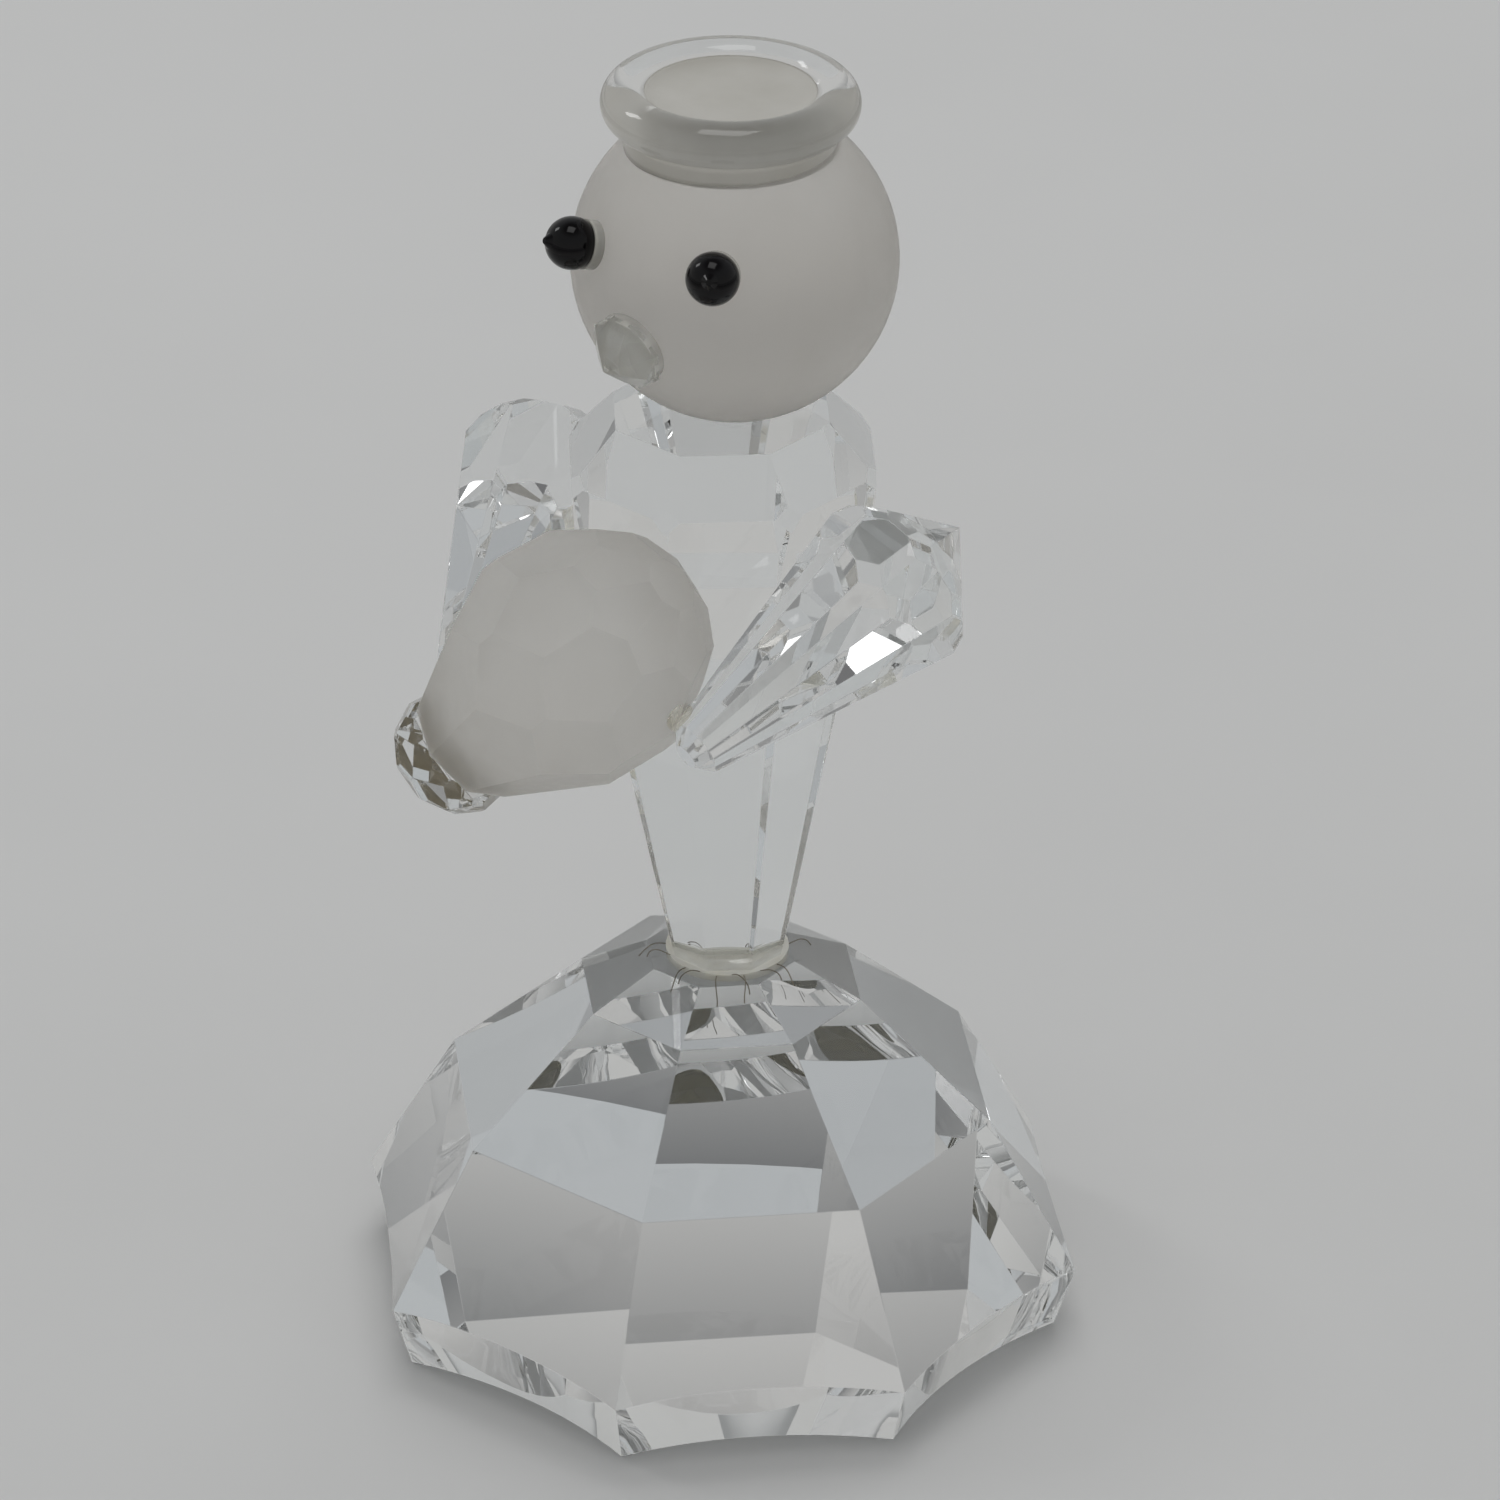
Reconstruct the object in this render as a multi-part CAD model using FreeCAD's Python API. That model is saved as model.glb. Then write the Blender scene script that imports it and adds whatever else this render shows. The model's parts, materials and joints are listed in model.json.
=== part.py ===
import FreeCAD, Part
import math
import os

# A figurine built from cut crystal stones cemented together: a domed eight-sided base, an
# upright drop as the torso, a frosted ball head under a ring, two drops as arms, and a
# frosted pear-shaped stone with a cap held across the front.
#
# Frame: millimetres, origin at the centre of the base's underside, +Z up, the figure's
# face looks along -Y and its left side is +X.

os.makedirs("parts", exist_ok=True)
V = FreeCAD.Vector
ORIGIN = V(0, 0, 0)
UP = V(0, 0, 1)

# ---------------------------------------------------------------- driving dimensions (mm)
SIDES = 8                      # facets round every clear stone
SECTOR = 360.0 / SIDES
HALF_SECTOR = SECTOR / 2

# Base: rings of corners from the underside to the table, as (corner radius, height).
BASE_UNDERSIDE = (18.91, 0.0)
BASE_GIRDLE = (20.0, 3.58)
BASE_LOWER_CROWN = (15.05, 12.20)
BASE_UPPER_CROWN = (7.78, 18.53)
BASE_TABLE = (4.1, 20.3)
BASE_PHASE = HALF_SECTOR       # direction of one corner
SCALLOP_DEPTH_LOW = 1.07       # hollow of each girdle side at the underside
SCALLOP_DEPTH_HIGH = 0.58      # and level with the top of the girdle
SCALLOP_RUN_OUT = 1.6          # how far the hollow runs up past the girdle
SCALLOP_REACH = 8.0            # cutter's extent outside the girdle

# Torso: a tall drop standing on its narrow end.
TORSO_FOOT = V(0.28, 0.22, 20.42)
TORSO_TOP = V(-0.12, -0.10, 52.62)
TORSO_FOOT_APOTHEM = 2.76
TORSO_FOOT_BEVEL_HEIGHT = 1.75
TORSO_FOOT_BEVEL_SLOPE = 12.5
TORSO_TAPER_SLOPE = 10.7
TORSO_BELLY_HEIGHT = 25.7      # above the foot, where the taper ends
TORSO_BELLY_SLOPE = 2.5
TORSO_CROWN_HEIGHT = 29.6      # above the foot, where the crown starts
TORSO_CROWN_SLOPE = 42.0
TORSO_CORNER_DEPTH = 0.32      # ground off each corner at the crown
TORSO_CORNER_SLOPE = 20.0
TORSO_BELLY_CORNER_DEPTH = 0.42
TORSO_BELLY_CORNER_SLOPE = 6.5
TORSO_PHASE = 18.0             # direction of one corner meridian

# Head and ring.
HEAD_CENTRE = V(0.39, 0.30, 61.16)
HEAD_RADIUS = 8.41
RING_CENTRE = V(0.19, 0.14, 69.78)
RING_RADIUS = 5.40
RING_TUBE_RADIUS = 1.21

# Face: bearings are turned from straight ahead towards the figure's left.
LEFT_EYE = (31.0, 18.2)        # bearing, elevation in degrees
RIGHT_EYE = (-25.7, 15.9)
NOSE = (-2.2, -15.4)
EYE_RADIUS = 1.37
EYE_CENTRE_DISTANCE = 9.52     # from the middle of the head
EYE_NUB_RADIUS = 0.42
EYE_NUB_TIP_RADIUS = 0.16
EYE_NUB_HEIGHT = 0.22
EYE_PAD_RADIUS = 1.28
NOSE_RADIUS = 2.14
NOSE_BACK_RADIUS = 1.99
NOSE_BACK_BEVEL = 0.08
NOSE_GIRDLE = 0.28
NOSE_SHOULDER = (1.28, 0.46)   # radius, and share of the height from girdle to point
NOSE_POINT_RADIUS = 0.12
NOSE_HEIGHT = 1.95
NOSE_ROLL = 10.0

# Arms: drops with their belly against the torso and their tip against the held stone.
# Each ends at its widest place, the belly; the distance between the two is its taper.
ARM_TIP_APOTHEM = 1.27
ARM_TIP_BEVEL = 0.55
ARM_TIP_BEVEL_SLOPE = 48.0
ARM_APOTHEM = 4.42
ARM_GIRDLE = 0.35
ARM_CORNER_DEPTH = 0.22        # ground off each corner of the belly
ARM_CROWN_LENGTH = 4.7
ARM_BELT_SLOPE = 26.0
ARM_CROWN_SLOPE = 47.0
LEFT_ARM_TIP = V(9.32, -14.87, 41.68)
LEFT_ARM_BELLY = V(12.39, -1.51, 47.29)
LEFT_ARM_ROLL = 31.0
RIGHT_ARM_TIP = V(-6.91, -13.10, 40.47)
RIGHT_ARM_BELLY = V(-12.92, 1.22, 44.60)
RIGHT_ARM_ROLL = 6.0

# Held stone: a taper from a flat narrow end, then rows of facets tangent to a spheroid.
HELD_CENTRE = V(1.03, -14.38, 43.78)
HELD_AXIS = V(0.6845, 0.1727, 0.7076)   # from the narrow end to the wide end
HELD_HALF_LENGTH = 8.5
HELD_HALF_WIDTH = 6.12
HELD_TABLE_DISTANCE = 7.6              # from the centre to the flat at the narrow end
HELD_TABLE_APOTHEM = 3.2
HELD_TAPER_SLOPE = 22.0
HELD_ROW_ANGLES = (2.0, 36.0, 64.0)    # latitudes where the rows touch the spheroid
HELD_ROLL = 0.0
CAP_RADIUS = 3.25
CAP_THICKNESS = 3.0
CAP_GIRDLE = 0.38              # share of the thickness where the cap is widest
CAP_BACK_SLOPE = 12.0
CAP_SIDE_SLOPE = 14.0
CAP_FRONT = (2.80, 0.82, 44.0)  # apothem, share of the thickness, slope of the last row

# Cement.
GLUE = 0.10                    # thickness of the film in a close joint
PAD_DEPTH = 0.9                # disc that is trimmed to fill a film
SHOULDER_BEAD = 1.2            # radii of the beads at the contacts between stones
HAND_BEAD = 0.8
NECK_BEAD = 1.6
FOOT_COLLAR_RADIUS = 3.3
FOOT_COLLAR_TOP = 0.4          # above the base's table
CAP_PAD_RADIUS = 3.0
POOL_DEPTH = 2.6               # of the cement in the ring, below the crown of the head
POOL_LEVEL = 0.35              # its surface, above the ring's middle plane

STOCK_RADIUS = 12.0            # rough rod that a drop is ground from
GRINDING_BLOCK = 60.0


# ---------------------------------------------------------------- helpers
def polar(radius, degrees, z=0.0):
    """Point at a radius and a direction round the Z axis."""
    angle = math.radians(degrees)
    return V(radius * math.cos(angle), radius * math.sin(angle), z)


def head_direction(bearing, elevation):
    """Unit vector out of the head, turned from -Y towards +X and raised."""
    flat = math.cos(math.radians(elevation))
    turn = math.radians(bearing)
    return V(flat * math.sin(turn), -flat * math.cos(turn), math.sin(math.radians(elevation)))


def place(shape, point, direction, roll=0.0):
    """Turn a shape from +Z to a direction, after a roll about its own axis, and move it."""
    turned = shape.copy()
    turned.rotate(ORIGIN, UP, roll)
    turned.Placement = FreeCAD.Placement(point, FreeCAD.Rotation(UP, direction)) * turned.Placement
    return turned


def faceted_solid(rings, sides, phase):
    """Solid with flat faces between rings of corners, each ring as (radius, height)."""
    corners = []
    for radius, height in rings:
        corners.append([polar(radius, phase + k * 360.0 / sides, height) for k in range(sides)])
    faces = [Part.Face(Part.makePolygon(corners[0][::-1] + [corners[0][-1]]))]
    for lower, upper in zip(corners, corners[1:]):
        for k in range(sides):
            n = (k + 1) % sides
            outline = [lower[k], lower[n], upper[n], upper[k], lower[k]]
            faces.append(Part.Face(Part.makePolygon(outline)))
    faces.append(Part.Face(Part.makePolygon(corners[-1] + [corners[-1][0]])))
    return Part.Solid(Part.Shell(faces))


def cut_row(stone, apothem, height, slope, phase, count=SIDES):
    """Grind a row of flat facets. Each passes through the given apothem and height, and
    leans inwards by the slope above that height."""
    size = GRINDING_BLOCK
    for k in range(count):
        block = Part.makeBox(size, size, size, V(0, -size / 2, -size / 2))
        block.rotate(ORIGIN, V(0, 1, 0), -slope)
        block.translate(V(apothem, 0, height))
        block.rotate(ORIGIN, UP, phase + k * 360.0 / count)
        stone = stone.cut(block)
    return stone


def cement(centre, radius, *neighbours):
    """Bead of clear cement round a contact, with the stones taken out of it."""
    bead = Part.makeSphere(radius, centre)
    for neighbour in neighbours:
        bead = bead.cut(neighbour)
    return bead


def contact(first, second):
    """Middle of the narrowest gap between two stones."""
    near, far = first.distToShape(second)[1][0]
    return (near + far) * 0.5


def save(name, shape):
    shape.exportStep("parts/" + name + ".step")
    return shape


# ---------------------------------------------------------------- stones
def scallop(side):
    """Cutter that hollows one side of the girdle between its two corners."""
    start = BASE_PHASE + side * SECTOR
    middle = start + HALF_SECTOR
    lean = (BASE_GIRDLE[0] - BASE_UNDERSIDE[0]) / BASE_GIRDLE[1]
    depth_lean = (SCALLOP_DEPTH_HIGH - SCALLOP_DEPTH_LOW) / BASE_GIRDLE[1]
    sections = []
    for height in (0.0, BASE_GIRDLE[1] + SCALLOP_RUN_OUT):
        radius = BASE_UNDERSIDE[0] + lean * height
        depth = SCALLOP_DEPTH_LOW + depth_lean * height
        first = polar(radius, start, height)
        last = polar(radius, start + SECTOR, height)
        deepest = polar(radius * math.cos(math.radians(HALF_SECTOR)) - depth, middle, height)
        outward = polar(SCALLOP_REACH, middle)
        edges = [
            Part.Arc(first, deepest, last).toShape(),
            Part.makeLine(last, last + outward),
            Part.makeLine(last + outward, first + outward),
            Part.makeLine(first + outward, first),
        ]
        sections.append(Part.Wire(edges))
    return Part.makeLoft(sections, True, True)


def make_base():
    rings = [BASE_UNDERSIDE, BASE_GIRDLE, BASE_LOWER_CROWN, BASE_UPPER_CROWN, BASE_TABLE]
    dome = faceted_solid(rings, SIDES, BASE_PHASE)
    for side in range(SIDES):
        dome = dome.cut(scallop(side))
    return dome


def rise(run, degrees):
    """How far a slope moves sideways over a run."""
    return run * math.tan(math.radians(degrees))


def make_torso():
    axis = TORSO_TOP - TORSO_FOOT
    facing = TORSO_PHASE + HALF_SECTOR
    taper_apothem = TORSO_FOOT_APOTHEM + rise(TORSO_FOOT_BEVEL_HEIGHT, TORSO_FOOT_BEVEL_SLOPE)
    taper_run = TORSO_BELLY_HEIGHT - TORSO_FOOT_BEVEL_HEIGHT
    belly_apothem = taper_apothem + rise(taper_run, TORSO_TAPER_SLOPE)
    belly_run = TORSO_CROWN_HEIGHT - TORSO_BELLY_HEIGHT
    crown_apothem = belly_apothem + rise(belly_run, TORSO_BELLY_SLOPE)
    corner = crown_apothem / math.cos(math.radians(HALF_SECTOR))
    crown_corner = corner - TORSO_CORNER_DEPTH
    belly_corner = corner - TORSO_BELLY_CORNER_DEPTH

    stone = Part.makeCylinder(STOCK_RADIUS, axis.Length)
    stone = cut_row(stone, TORSO_FOOT_APOTHEM, 0.0, -TORSO_FOOT_BEVEL_SLOPE, facing)
    stone = cut_row(stone, belly_apothem, TORSO_BELLY_HEIGHT, -TORSO_TAPER_SLOPE, facing)
    stone = cut_row(stone, crown_apothem, TORSO_CROWN_HEIGHT, -TORSO_BELLY_SLOPE, facing)
    stone = cut_row(stone, crown_apothem, TORSO_CROWN_HEIGHT, TORSO_CROWN_SLOPE, facing)
    stone = cut_row(stone, crown_corner, TORSO_CROWN_HEIGHT, TORSO_CORNER_SLOPE, TORSO_PHASE)
    stone = cut_row(stone, belly_corner, TORSO_BELLY_HEIGHT, -TORSO_BELLY_CORNER_SLOPE, TORSO_PHASE)
    return place(stone, TORSO_FOOT, axis)


def make_head():
    return Part.makeSphere(HEAD_RADIUS, HEAD_CENTRE)


def make_ring():
    return Part.makeTorus(RING_RADIUS, RING_TUBE_RADIUS, RING_CENTRE, UP)


def make_eye(aim):
    """Black bead with a small nub at its outer pole and a flat ground on its back."""
    out = head_direction(*aim)
    bead = Part.makeSphere(EYE_RADIUS, V(0, 0, EYE_CENTRE_DISTANCE))
    nub_base = EYE_CENTRE_DISTANCE + math.sqrt(EYE_RADIUS ** 2 - EYE_NUB_RADIUS ** 2)
    nub_top = EYE_CENTRE_DISTANCE + EYE_RADIUS + EYE_NUB_HEIGHT
    nub_height = nub_top - nub_base
    nub = Part.makeCone(EYE_NUB_RADIUS, EYE_NUB_TIP_RADIUS, nub_height, V(0, 0, nub_base))
    bead = bead.fuse(nub).removeSplitter()
    back = HEAD_RADIUS + 2 * GLUE
    bead = bead.cut(Part.makeCylinder(2 * EYE_RADIUS, back))
    return place(bead, HEAD_CENTRE, out)


def make_eye_pad(aim, head, eye):
    """Disc of cement between an eye and the head."""
    disc = Part.makeCylinder(EYE_PAD_RADIUS, PAD_DEPTH, V(0, 0, HEAD_RADIUS - PAD_DEPTH / 2))
    return place(disc, HEAD_CENTRE, head_direction(*aim)).cut(head).cut(eye)


def make_nose():
    """Round-cut stone with its pavilion pointing out of the face."""
    back = HEAD_RADIUS + GLUE
    girdle = back + NOSE_GIRDLE
    point = back + NOSE_HEIGHT
    rings = [
        (NOSE_BACK_RADIUS, back),
        (NOSE_RADIUS, back + NOSE_BACK_BEVEL),
        (NOSE_RADIUS, girdle),
        (NOSE_SHOULDER[0], girdle + (point - girdle) * NOSE_SHOULDER[1]),
        (NOSE_POINT_RADIUS, point),
    ]
    stone = faceted_solid(rings, SIDES, 0.0)
    return place(stone, HEAD_CENTRE, head_direction(*NOSE), NOSE_ROLL)


def make_nose_pad(head, nose):
    disc = Part.makeCylinder(NOSE_BACK_RADIUS, PAD_DEPTH, V(0, 0, HEAD_RADIUS - PAD_DEPTH / 2))
    return place(disc, HEAD_CENTRE, head_direction(*NOSE)).cut(head).cut(nose)


def make_arm(tip, belly, roll):
    """Drop that widens from its tip to its belly, then closes in a steep crown."""
    axis = belly - tip
    taper = math.degrees(math.atan2(ARM_APOTHEM - ARM_TIP_APOTHEM, axis.Length))
    corner = ARM_APOTHEM / math.cos(math.radians(HALF_SECTOR)) - ARM_CORNER_DEPTH
    crown = axis.Length + ARM_GIRDLE
    stone = Part.makeCylinder(STOCK_RADIUS, axis.Length + ARM_CROWN_LENGTH)
    stone = cut_row(stone, ARM_APOTHEM, axis.Length, -taper, HALF_SECTOR)
    stone = cut_row(stone, ARM_APOTHEM, crown, ARM_CROWN_SLOPE, HALF_SECTOR)
    stone = cut_row(stone, corner, axis.Length, ARM_BELT_SLOPE, 0.0)
    stone = cut_row(stone, ARM_TIP_APOTHEM, ARM_TIP_BEVEL, -ARM_TIP_BEVEL_SLOPE, HALF_SECTOR)
    return place(stone, tip, axis, roll)


def make_held_stone():
    """Pear-shaped stone: staggered rows of facets, each tangent to the spheroid."""
    length = HELD_TABLE_DISTANCE + HELD_HALF_LENGTH
    table = -HELD_TABLE_DISTANCE
    stone = Part.makeCylinder(STOCK_RADIUS, length, V(0, 0, table))
    stone = cut_row(stone, HELD_TABLE_APOTHEM, table, -HELD_TAPER_SLOPE, HALF_SECTOR)
    for row, latitude in enumerate(HELD_ROW_ANGLES):
        angle = math.radians(latitude)
        apothem = HELD_HALF_WIDTH * math.cos(angle)
        height = HELD_HALF_LENGTH * math.sin(angle)
        slope = math.degrees(math.atan2(math.sin(angle) / HELD_HALF_LENGTH,
                                        math.cos(angle) / HELD_HALF_WIDTH))
        stone = cut_row(stone, apothem, height, slope, row % 2 * HALF_SECTOR)
    return place(stone, HELD_CENTRE, HELD_AXIS, HELD_ROLL)


def make_cap():
    """Short faceted stone on the narrow end of the held stone, seen from that end."""
    middle = CAP_THICKNESS * CAP_GIRDLE
    apothem, share, slope = CAP_FRONT
    stone = Part.makeCylinder(STOCK_RADIUS, CAP_THICKNESS)
    stone = cut_row(stone, CAP_RADIUS, middle, -CAP_BACK_SLOPE, HALF_SECTOR)
    stone = cut_row(stone, CAP_RADIUS, middle, CAP_SIDE_SLOPE, 0.0)
    stone = cut_row(stone, apothem, CAP_THICKNESS * share, slope, HALF_SECTOR)
    start = HELD_CENTRE - HELD_AXIS * (HELD_TABLE_DISTANCE + GLUE)
    return place(stone, start, HELD_AXIS * -1.0, HELD_ROLL)


def make_halo_cement(head, ring):
    """Pool of cement that fills the ring and beds it on the crown of the head."""
    bottom = HEAD_CENTRE.z + HEAD_RADIUS - POOL_DEPTH
    level = RING_CENTRE.z + POOL_LEVEL
    corner = V(RING_CENTRE.x, RING_CENTRE.y, bottom)
    pool = Part.makeCylinder(RING_RADIUS, level - bottom, corner)
    pool = pool.cut(head).cut(ring)
    return max(pool.Solids, key=lambda solid: solid.Volume)


def make_cap_cement(held, cap):
    """Film and fillet of cement between the held stone's flat end and its cap."""
    start = HELD_CENTRE - HELD_AXIS * (HELD_TABLE_DISTANCE + GLUE + PAD_DEPTH / 4)
    disc = Part.makeCylinder(CAP_PAD_RADIUS, PAD_DEPTH)
    return place(disc, start, HELD_AXIS).cut(held).cut(cap)


def make_foot_cement(base, torso):
    """Film under the torso and the collar of cement pressed out round its foot."""
    bottom = BASE_TABLE[1] - GLUE
    height = BASE_TABLE[1] + FOOT_COLLAR_TOP - bottom
    collar = Part.makeCylinder(FOOT_COLLAR_RADIUS, height, V(TORSO_FOOT.x, TORSO_FOOT.y, bottom))
    return collar.cut(base).cut(torso)


def build():
    base = save("base", make_base())
    torso = save("torso", make_torso())
    save("base_cement", make_foot_cement(base, torso))
    head = save("head", make_head())
    save("neck_cement", cement(contact(torso, head), NECK_BEAD, torso, head))
    ring = save("halo_ring", make_ring())
    save("halo_cement", make_halo_cement(head, ring))
    for side, aim in (("left", LEFT_EYE), ("right", RIGHT_EYE)):
        eye = save(side + "_eye", make_eye(aim))
        save(side + "_eye_cement", make_eye_pad(aim, head, eye))
    nose = save("nose", make_nose())
    save("nose_cement", make_nose_pad(head, nose))
    held = save("held_stone", make_held_stone())
    cap = save("held_stone_cap", make_cap())
    save("cap_cement", make_cap_cement(held, cap))
    arms = (
        ("left", LEFT_ARM_TIP, LEFT_ARM_BELLY, LEFT_ARM_ROLL),
        ("right", RIGHT_ARM_TIP, RIGHT_ARM_BELLY, RIGHT_ARM_ROLL),
    )
    for side, tip, belly, roll in arms:
        arm = save(side + "_arm", make_arm(tip, belly, roll))
        shoulder = cement(contact(arm, torso), SHOULDER_BEAD, arm, torso)
        save(side + "_shoulder_cement", shoulder)
        save(side + "_hand_cement", cement(contact(arm, held), HAND_BEAD, arm, held))


build()
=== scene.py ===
"""Looks for a small figurine of cut crystal stones. Metres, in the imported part's own frame:
origin under the middle of the base, +Z up, the face looks along -Y."""

import json
import math

import bpy
from mathutils import Matrix, Vector


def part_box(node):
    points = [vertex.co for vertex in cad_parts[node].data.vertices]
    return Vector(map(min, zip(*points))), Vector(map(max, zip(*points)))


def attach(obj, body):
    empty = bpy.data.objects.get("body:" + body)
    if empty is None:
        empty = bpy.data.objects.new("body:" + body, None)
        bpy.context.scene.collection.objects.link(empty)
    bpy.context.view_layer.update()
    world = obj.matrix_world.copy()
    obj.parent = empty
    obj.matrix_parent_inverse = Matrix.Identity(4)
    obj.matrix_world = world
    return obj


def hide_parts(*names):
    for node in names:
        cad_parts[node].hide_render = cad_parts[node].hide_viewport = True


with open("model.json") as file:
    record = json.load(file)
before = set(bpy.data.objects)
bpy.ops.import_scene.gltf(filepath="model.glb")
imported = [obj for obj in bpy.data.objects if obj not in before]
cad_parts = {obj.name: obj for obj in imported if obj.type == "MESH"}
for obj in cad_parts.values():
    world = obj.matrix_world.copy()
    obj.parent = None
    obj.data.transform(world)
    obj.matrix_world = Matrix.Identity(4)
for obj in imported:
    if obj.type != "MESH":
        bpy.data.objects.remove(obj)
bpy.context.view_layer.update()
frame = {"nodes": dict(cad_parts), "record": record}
nodes = frame["nodes"]
scene = bpy.context.scene
MM = 0.001

# ---------------------------------------------------------------- camera
CAMERA_AZIMUTH = math.radians(37.77)
CAMERA_ELEVATION = math.radians(28.70)
CAMERA_ROLL = math.radians(0.49)
CAMERA_DISTANCE = 0.3927
CAMERA_LENS = 178.55
CAMERA_TARGET = Vector((0.00117, 0.00091, 0.03255))


def make_camera():
    data = bpy.data.cameras.new("camera")
    data.sensor_width = 36.0
    data.lens = CAMERA_LENS
    data.clip_start = 0.01
    data.clip_end = 20.0
    a, e = CAMERA_AZIMUTH, CAMERA_ELEVATION
    back = Vector((math.sin(a) * math.cos(e), -math.cos(a) * math.cos(e), math.sin(e)))
    level = Vector((math.cos(a), math.sin(a), 0.0))
    upright = back.cross(level)
    c, s = math.cos(CAMERA_ROLL), math.sin(CAMERA_ROLL)
    right = level * c + upright * s
    up = upright * c - level * s
    turn = Matrix((right, up, back)).transposed().to_4x4()
    camera = bpy.data.objects.new("camera", data)
    camera.matrix_world = Matrix.Translation(CAMERA_TARGET + back * CAMERA_DISTANCE) @ turn
    scene.collection.objects.link(camera)
    scene.camera = camera


# ---------------------------------------------------------------- node helpers
class Tree:
    """Short way to add and join the nodes of one material."""

    def __init__(self, name, color):
        self.material = bpy.data.materials.new(name)
        self.material.use_nodes = True
        self.material.diffuse_color = (*color, 1.0)
        self.tree = self.material.node_tree
        self.shader = self.tree.nodes["Principled BSDF"]
        coordinates = self.add("ShaderNodeTexCoord")
        self.place = coordinates.outputs["Object"]

    def add(self, kind, **settings):
        node = self.tree.nodes.new(kind)
        for key, value in settings.items():
            setattr(node, key, value)
        return node

    def link(self, source, target):
        self.tree.links.new(source, target)

    def noise(self, per_mm, detail=4.0, rough=0.55, distortion=0.0):
        """Noise with about this many lumps to the millimetre."""
        node = self.add("ShaderNodeTexNoise")
        node.inputs["Scale"].default_value = per_mm * 1000.0
        node.inputs["Detail"].default_value = detail
        node.inputs["Roughness"].default_value = rough
        node.inputs["Distortion"].default_value = distortion
        self.link(self.place, node.inputs["Vector"])
        return node.outputs["Fac"]

    def ramp(self, source, *stops):
        """Colour ramp: stops as (position, value or colour)."""
        node = self.add("ShaderNodeValToRGB")
        elements = node.color_ramp.elements
        while len(elements) < len(stops):
            elements.new(0.5)
        for element, (position, value) in zip(elements, stops):
            element.position = position
            color = (value,) * 3 if isinstance(value, float) else value
            element.color = (*color, 1.0)
        self.link(source, node.inputs["Fac"])
        return node.outputs["Color"]

    def bump(self, height, strength, distance):
        node = self.add("ShaderNodeBump")
        node.inputs["Strength"].default_value = strength
        node.inputs["Distance"].default_value = distance
        self.link(height, node.inputs["Height"])
        self.link(node.outputs["Normal"], self.shader.inputs["Normal"])

    def soften_edges(self, radius):
        """Round the shading over the polished edges between facets, radius in mm."""
        node = self.add("ShaderNodeBevel", samples=4)
        node.inputs["Radius"].default_value = radius * MM
        self.link(node.outputs["Normal"], self.shader.inputs["Normal"])

    def set(self, **values):
        for key, value in values.items():
            self.shader.inputs[key.replace("_", " ")].default_value = value


EDGE_RADIUS = 0.07             # mm, how wide the polished edge between two facets is


def crystal():
    """Polished lead crystal: clear, with a breath of smear on its facets."""
    m = Tree("crystal", (0.85, 0.88, 0.9))
    m.set(Transmission_Weight=1.0, IOR=1.545)
    tint = m.ramp(m.noise(0.05, 2.0), (0.35, (0.965, 0.985, 0.985)), (0.7, (0.985, 0.99, 0.99)))
    m.link(tint, m.shader.inputs["Base Color"])
    smear = m.ramp(m.noise(0.35, 5.0, 0.6, 0.8), (0.55, 0.0), (0.8, 0.012))
    m.link(smear, m.shader.inputs["Roughness"])
    m.soften_edges(EDGE_RADIUS)
    return m.material


def frosted(name="frosted", dark=(0.82, 0.795, 0.755), light=(0.88, 0.86, 0.83)):
    """Etched crystal: a satin skin over clear glass."""
    m = Tree(name, (0.6, 0.59, 0.57))
    m.set(Transmission_Weight=0.8, IOR=1.5)
    cloud = m.noise(0.12, 3.0, 0.5)
    tint = m.ramp(cloud, (0.3, dark), (0.7, light))
    m.link(tint, m.shader.inputs["Base Color"])
    m.link(m.ramp(m.noise(1.5, 4.0), (0.3, 0.50), (0.7, 0.62)), m.shader.inputs["Roughness"])
    m.bump(m.noise(14.0, 3.0, 0.7), 0.25, 0.02 * MM)
    return m.material


def black_glass():
    m = Tree("black_glass", (0.01, 0.01, 0.012))
    m.set(IOR=1.3, Coat_Weight=0.06, Coat_Roughness=0.05)
    m.link(m.ramp(m.noise(0.8, 3.0), (0.3, (0.001, 0.001, 0.001)), (0.7, (0.003, 0.002, 0.003))),
           m.shader.inputs["Base Color"])
    m.link(m.ramp(m.noise(1.6, 4.0), (0.35, 0.05), (0.75, 0.16)), m.shader.inputs["Roughness"])
    m.bump(m.noise(0.6, 2.0), 0.08, 0.05 * MM)
    return m.material


def adhesive(name, dark, light, clearness):
    """Cured clear cement, yellower and cloudier in patches that vary at random."""
    m = Tree(name, light)
    m.set(Transmission_Weight=clearness, IOR=1.42)
    tint = m.ramp(m.noise(0.5, 3.0), (0.3, dark), (0.7, light))
    m.link(tint, m.shader.inputs["Base Color"])
    m.link(m.ramp(m.noise(1.1, 4.0), (0.4, 0.02), (0.75, 0.14)), m.shader.inputs["Roughness"])
    m.bump(m.noise(0.9, 3.0), 0.3, 0.08 * MM)
    return m.material


def pool_finish():
    """Cloudy cement over the frosted crown, glossy on top."""
    m = Tree("pool_finish", (0.6, 0.6, 0.58))
    m.set(IOR=1.5, Coat_Weight=0.7, Coat_Roughness=0.06)
    cloud = m.ramp(m.noise(0.22, 3.0, 0.5), (0.3, (0.48, 0.46, 0.41)), (0.7, (0.55, 0.53, 0.485)))
    m.link(cloud, m.shader.inputs["Base Color"])
    m.link(m.ramp(m.noise(1.5, 4.0), (0.3, 0.36), (0.7, 0.5)), m.shader.inputs["Roughness"])
    m.bump(m.noise(2.5, 3.0, 0.6), 0.15, 0.03 * MM)
    return m.material


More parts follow.
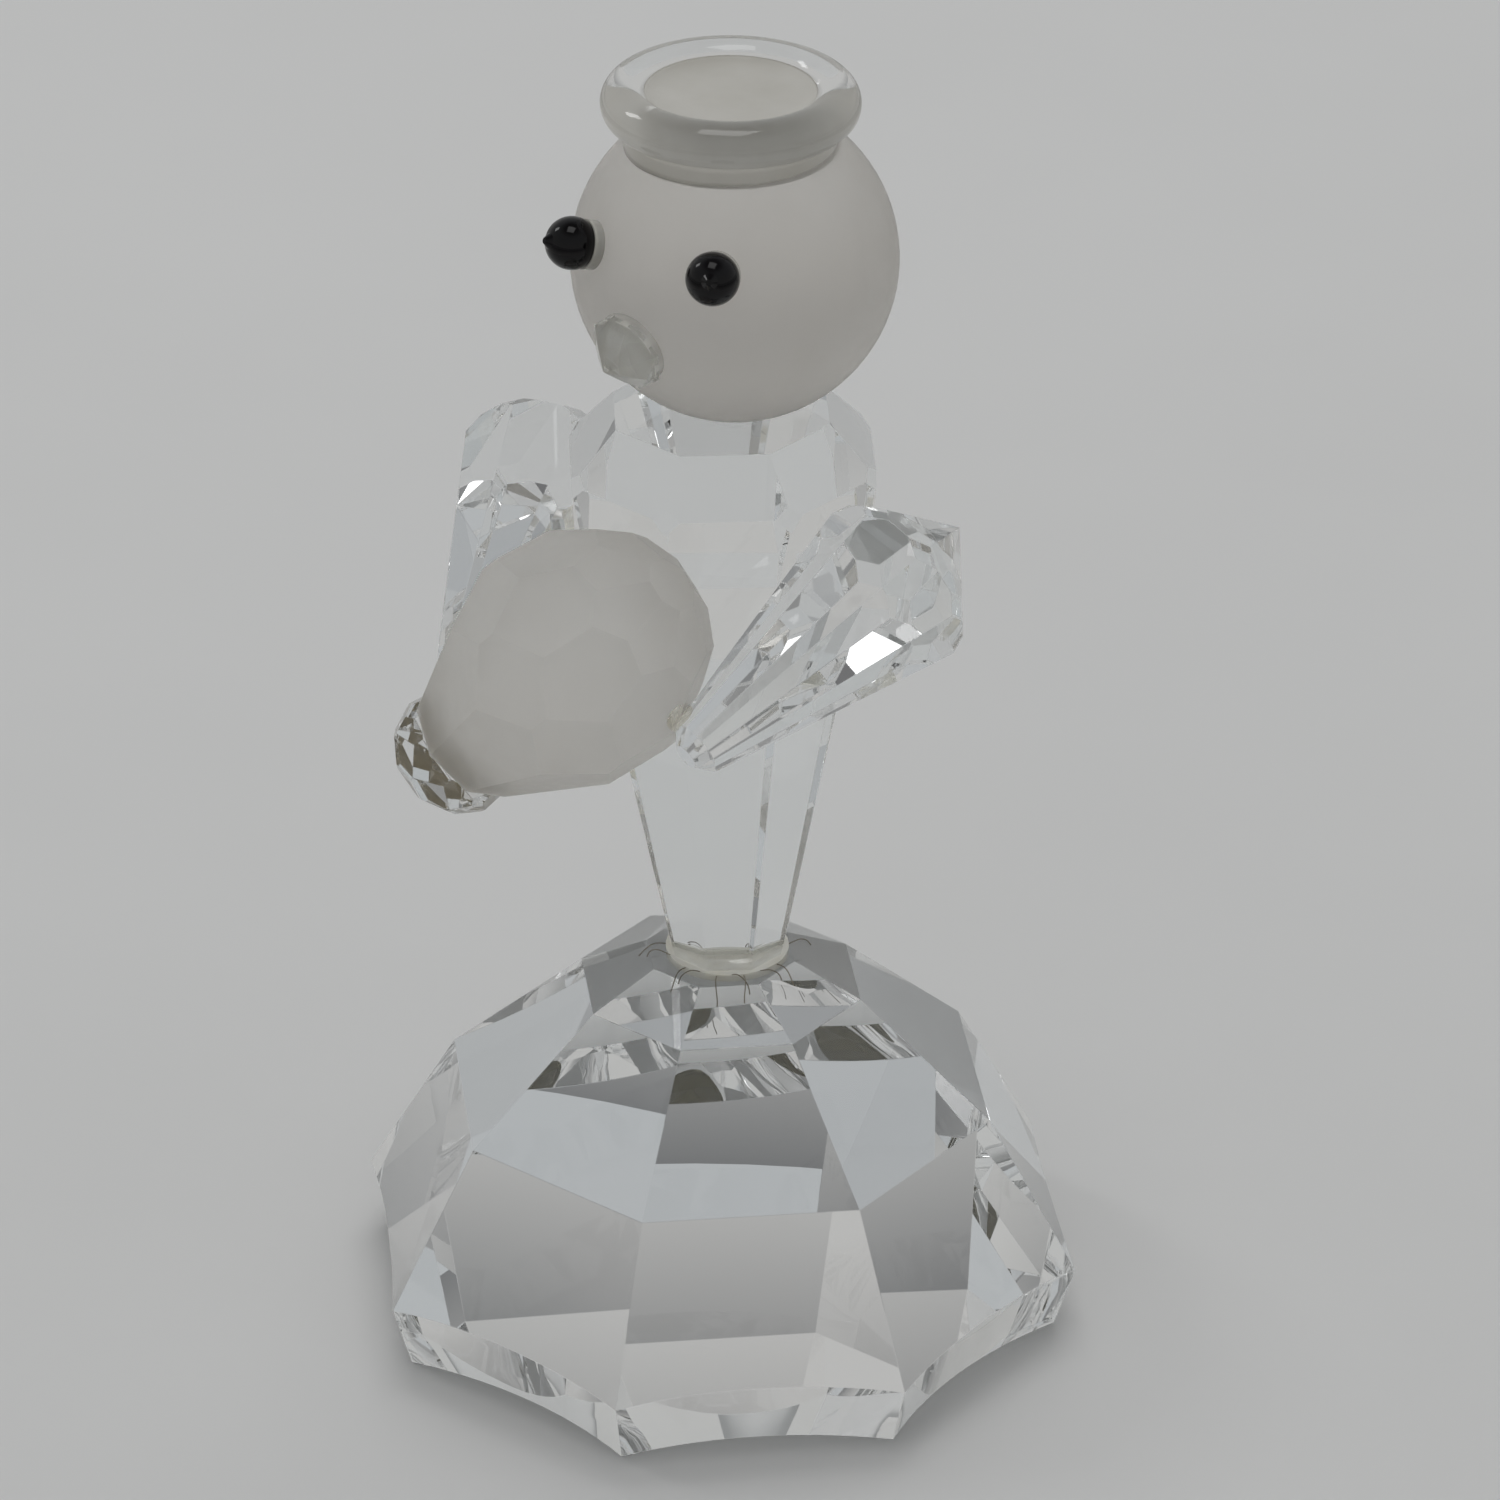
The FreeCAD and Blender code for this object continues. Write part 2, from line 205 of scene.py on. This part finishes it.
def floor_paper():
    m = Tree("floor_paper", (0.7, 0.7, 0.7))
    m.set(Roughness=0.9)
    m.shader.inputs["Specular IOR Level"].default_value = 0.15
    m.link(m.ramp(m.noise(0.02, 3.0), (0.3, (0.685, 0.682, 0.674)), (0.7, (0.705, 0.702, 0.694))),
           m.shader.inputs["Base Color"])
    m.bump(m.noise(2.0, 4.0), 0.08, 0.02 * MM)
    return m.material


# ---------------------------------------------------------------- studio
FLOOR_HALF = 6.0
FLOOR_DROP = 0.0001            # the base rests on its high points, a hair above the paper


def make_floor(material):
    mesh = bpy.data.meshes.new("floor")
    h, z = FLOOR_HALF, -FLOOR_DROP
    mesh.from_pydata([(-h, -h, z), (h, -h, z), (h, h, z), (-h, h, z)], [], [(0, 1, 2, 3)])
    floor = bpy.data.objects.new("floor", mesh)
    scene.collection.objects.link(floor)
    mesh.materials.append(material)


ROOM_TONES = (
    # share of the way from the horizon to overhead, colour
    (0.00, (0.49, 0.49, 0.48)),
    (0.45, (0.44, 0.455, 0.465)),
    (0.80, (0.14, 0.14, 0.143)),
    (1.00, (0.30, 0.30, 0.30)),
)


def make_world():
    """Plain room: pale at the horizon, shading smoothly to a darker ceiling."""
    world = bpy.data.worlds.new("studio")
    scene.world = world
    world.use_nodes = True
    tree = world.node_tree
    coordinates = tree.nodes.new("ShaderNodeTexCoord")
    parts = tree.nodes.new("ShaderNodeSeparateXYZ")
    angle = tree.nodes.new("ShaderNodeMath")
    angle.operation = "ARCSINE"
    share = tree.nodes.new("ShaderNodeMath")
    share.operation = "MULTIPLY"
    share.inputs[1].default_value = 2.0 / math.pi
    tones = tree.nodes.new("ShaderNodeValToRGB")
    tones.color_ramp.interpolation = "EASE"
    elements = tones.color_ramp.elements
    while len(elements) < len(ROOM_TONES):
        elements.new(0.5)
    for element, (position, color) in zip(elements, ROOM_TONES):
        element.position = position
        element.color = (*color, 1.0)
    link = tree.links.new
    link(coordinates.outputs["Generated"], parts.inputs["Vector"])
    link(parts.outputs["Z"], angle.inputs[0])
    link(angle.outputs["Value"], share.inputs[0])
    link(share.outputs["Value"], tones.inputs["Fac"])
    link(tones.outputs["Color"], tree.nodes["Background"].inputs["Color"])


AROUND = 128                   # faces round the collar
COLLAR_RADIUS = 0.07
COLLAR_LOW, COLLAR_HIGH = 0.022, 0.056
# Glow colours of the collar: a pale foot, and a top in painted shade.
COLLAR_FOOT = (0.49, 0.485, 0.475)
COLLAR_TOP_SHADE = (0.16, 0.162, 0.165)
COLLAR_EVEN = 0.35             # share of its height that stays as pale as the foot


def make_collar():
    """Glowing collar round the figure, the same all the way round, standing in for a paper sweep:
    its glow is pale at the foot and painted darker to a grey top, a painted shade, so that flat
    facets have a gradient in them. It is a painted reflection: it shows in reflections and
    through clear and frosted glass. It doesn't light the floor and casts no shadow."""
    mesh = bpy.data.meshes.new("collar")
    verts = [(math.cos(2 * math.pi * k / AROUND) * COLLAR_RADIUS,
              math.sin(2 * math.pi * k / AROUND) * COLLAR_RADIUS, z)
             for z in (COLLAR_LOW, COLLAR_HIGH) for k in range(AROUND)]
    faces = [(k, (k + 1) % AROUND, AROUND + (k + 1) % AROUND, AROUND + k) for k in range(AROUND)]
    mesh.from_pydata(verts, [], faces)
    collar = bpy.data.objects.new("collar", mesh)
    scene.collection.objects.link(collar)
    m = Tree("collar_glow_painted_shade", (0.5, 0.5, 0.5))
    parts = m.add("ShaderNodeSeparateXYZ")
    m.link(m.place, parts.inputs["Vector"])
    share = m.add("ShaderNodeMapRange")
    share.inputs["From Min"].default_value = COLLAR_LOW
    share.inputs["From Max"].default_value = COLLAR_HIGH
    m.link(parts.outputs["Z"], share.inputs["Value"])
    # Painted shade: the glow darkens from the pale foot to the grey top.
    shade = m.ramp(share.outputs["Result"], (COLLAR_EVEN, COLLAR_FOOT), (1.0, COLLAR_TOP_SHADE))
    m.link(shade, m.shader.inputs["Emission Color"])
    m.set(Base_Color=(0.0, 0.0, 0.0, 1.0), Emission_Strength=1.0, Roughness=1.0)
    m.shader.inputs["Specular IOR Level"].default_value = 0.0
    mesh.materials.append(m.material)
    collar.visible_camera = False
    collar.visible_diffuse = False
    collar.visible_shadow = False


def soft_light(name, azimuth, elevation, distance, width, height, watts, seen=True):
    """Soft box aimed at the figure, placed by the direction it stands in. An unseen one lights
    the floor and the frosted stones without showing as a hard patch in the glass."""
    data = bpy.data.lights.new(name, "AREA")
    data.shape = "RECTANGLE"
    data.size, data.size_y = width, height
    data.energy = watts
    a, e = math.radians(azimuth), math.radians(elevation)
    out = Vector((math.sin(a) * math.cos(e), -math.cos(a) * math.cos(e), math.sin(e)))
    light = bpy.data.objects.new(name, data)
    light.location = Vector((0, 0, 0.03)) + out * distance
    light.rotation_mode = "QUATERNION"
    light.rotation_quaternion = out.to_track_quat("Z", "Y")
    light.visible_glossy = seen
    light.visible_transmission = seen
    scene.collection.objects.link(light)


# ---------------------------------------------------------------- added pieces
def add_piece(name, data, material):
    """One more piece on the figure, finished with the given material and attached to the root
    body.
    """
    data.materials.append(material)
    piece = bpy.data.objects.new(name, data)
    scene.collection.objects.link(piece)
    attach(piece, "root")
    return piece


RING_BORE = 4.19               # mm, the ring's smallest inner radius
RING_TUBE = 1.21               # mm, the radius of the ring's own section
POOL_BITE = 0.03               # mm that the pool's rim reaches into the ring, so no gap shows
POOL_CLIMB = 0.30              # mm that the cement climbs the ring
POOL_SLOPE = 1.1               # mm from the rim to where the cement is level
POOL_STEPS = 8                 # rows of faces up the side, and again down the slope
POOL_AROUND = 96


def make_pool(material):
    """Cement pooled in the ring: level in the middle, climbing the ring at its rim."""
    ring_low, ring_high = (Vector(v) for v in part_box("halo_ring"))
    pool_low, pool_high = (Vector(v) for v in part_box("halo_cement"))
    centre = (ring_low + ring_high) / 2
    waist = centre.z / MM
    bottom, level = pool_low.z / MM, pool_high.z / MM

    def bore(z):
        rise = min(RING_TUBE, abs(z - waist))
        return RING_BORE + RING_TUBE - math.sqrt(RING_TUBE ** 2 - rise ** 2) + POOL_BITE

    top = level + POOL_CLIMB
    profile = [(RING_BORE * 0.5, bottom), (bore(bottom), bottom)]
    for k in range(1, POOL_STEPS + 1):
        z = bottom + (top - bottom) * k / POOL_STEPS
        profile.append((bore(z), z))
    for k in range(1, POOL_STEPS + 1):
        t = k / POOL_STEPS
        profile.append((bore(top) - POOL_SLOPE * t, level + POOL_CLIMB * (1 - t) ** 2.6))
    profile += [(RING_BORE * 0.45, level - 0.02)]
    around = POOL_AROUND
    mesh = bpy.data.meshes.new("halo_pool")
    verts, faces = [], []
    for radius, z in profile:
        for k in range(around):
            a = 2 * math.pi * k / around
            verts.append((centre.x + radius * math.cos(a) * MM,
                          centre.y + radius * math.sin(a) * MM, z * MM))
    for row in range(len(profile) - 1):
        for k in range(around):
            n = (k + 1) % around
            a, b = row * around, (row + 1) * around
            faces.append((a + k, a + n, b + n, b + k))
    low_middle, high_middle = len(verts), len(verts) + 1
    verts += [(centre.x, centre.y, bottom * MM), (centre.x, centre.y, (level - 0.03) * MM)]
    last = (len(profile) - 1) * around
    for k in range(around):
        n = (k + 1) % around
        faces.append((low_middle, n, k))
        faces.append((high_middle, last + k, last + n))
    mesh.from_pydata(verts, [], faces)
    mesh.polygons.foreach_set("use_smooth", [True] * len(mesh.polygons))
    mesh.update()
    pool = add_piece("halo_pool", mesh, material)
    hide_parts("halo_cement")


FIBRES = (
    # direction round the foot in degrees, length mm, lift mm, sideways curl
    (-95, 1.9, 0.25, 0.7), (-78, 1.3, 0.45, -0.9), (-62, 2.2, 0.20, 0.5), (-48, 1.5, 0.55, 1.1),
    (-36, 2.0, 0.15, -0.6), (-20, 1.2, 0.35, 0.9), (2, 1.8, 0.20, -0.8), (40, 1.4, 0.30, 0.6),
    (110, 1.7, 0.25, 0.8), (170, 1.5, 0.35, -0.7), (215, 1.6, 0.20, 0.9), (240, 1.2, 0.40, -1.0),
)
FIBRE_RADIUS = 0.034           # mm
FIBRE_POINTS = 6
FOOT_RADIUS = 3.1              # mm, where the threads leave the collar of cement
FACE_FALL = 0.48               # slope of the first row of facets under the foot
TABLE_EDGE = 0.8               # mm outside FOOT_RADIUS where those facets begin


def make_fibres(material):
    """Fine threads of drawn-out cement lying round the foot."""
    foot_low, foot_high = (Vector(v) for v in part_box("base_cement"))
    middle = (foot_low + foot_high) / 2
    curve = bpy.data.curves.new("foot_fibres", "CURVE")
    curve.dimensions = "3D"
    curve.bevel_depth = FIBRE_RADIUS * MM
    curve.bevel_resolution = 2
    curve.use_fill_caps = True
    for direction, length, lift, curl in FIBRES:
        a = math.radians(direction)
        out = Vector((math.cos(a), math.sin(a), 0.0))
        side = Vector((-math.sin(a), math.cos(a), 0.0))
        spline = curve.splines.new("NURBS")
        spline.points.add(FIBRE_POINTS - 1)
        for k in range(FIBRE_POINTS):
            t = k / (FIBRE_POINTS - 1)
            reach = FOOT_RADIUS + length * (1 - (1 - t) ** 1.6)
            fall = max(0.0, reach - FOOT_RADIUS - TABLE_EDGE) * FACE_FALL
            z = foot_high.z / MM - 0.12 - fall + lift * math.sin(math.pi * t)
            spot = out * reach + side * curl * math.sin(2.2 * t) * t
            spline.points[k].co = (middle.x + spot.x * MM, middle.y + spot.y * MM, z * MM, 1.0)
        spline.order_u = 3
        spline.use_endpoint_u = True
    add_piece("foot_fibres", curve, material)


# ---------------------------------------------------------------- build
make_camera()
materials = {
    "clear_crystal": crystal(),
    "frosted_crystal": frosted(),
    "black_glass": black_glass(),
    "clear_cement": adhesive("adhesive", (0.90, 0.86, 0.74), (0.985, 0.98, 0.96), 1.0),
}
brown_cement = adhesive("brown_cement", (0.30, 0.24, 0.13), (0.52, 0.46, 0.33), 0.45)
foot_cement = adhesive("foot_cement", (0.90, 0.87, 0.77), (0.96, 0.95, 0.89), 0.5)
pad_cement = adhesive("pad_cement", (0.62, 0.60, 0.54), (0.80, 0.79, 0.74), 0.5)
milky_cement = adhesive("milky_cement", (0.84, 0.82, 0.77), (0.93, 0.92, 0.89), 0.6)
thread_cement = adhesive("thread_cement", (0.16, 0.14, 0.10), (0.28, 0.25, 0.20), 0.2)
held_frost = frosted("held_frost", (0.86, 0.84, 0.805), (0.93, 0.915, 0.885))
for entry in frame["record"]["subparts"]:
    mesh = nodes[entry["node"]].data
    mesh.materials.clear()
    mesh.materials.append(materials[entry["material_slot"]])
for name, finish in (
    ("cap_cement", brown_cement),
    ("neck_cement", milky_cement),
    ("base_cement", foot_cement),
    ("nose_cement", milky_cement),
    ("held_stone", held_frost),
    ("left_eye_cement", pad_cement),
    ("right_eye_cement", pad_cement),
):
    nodes[name].data.materials[0] = finish
# Clear pieces cast no shadow, in place of the light they pass on. The base keeps its own.
for entry in frame["record"]["subparts"]:
    if entry["material_slot"] in ("clear_crystal", "clear_cement") and entry["node"] != "base":
        nodes[entry["node"]].visible_shadow = False
make_pool(pool_finish())
make_fibres(thread_cement)

make_floor(floor_paper())
make_world()
make_collar()
soft_light("back_soft", 215.0, 62.0, 0.80, 0.55, 0.40, 1.4, seen=False)
soft_light("top_soft", 20.0, 84.0, 0.75, 0.34, 0.34, 0.7)
soft_light("left_soft", -78.0, 38.0, 0.80, 0.14, 0.20, 0.4)

# Light crosses many facets before it leaves a cut stone.
GLASS_BOUNCES = 28
scene.cycles.max_bounces = GLASS_BOUNCES
scene.cycles.transmission_bounces = GLASS_BOUNCES
scene.cycles.glossy_bounces = GLASS_BOUNCES

scene.view_settings.view_transform = "Standard"
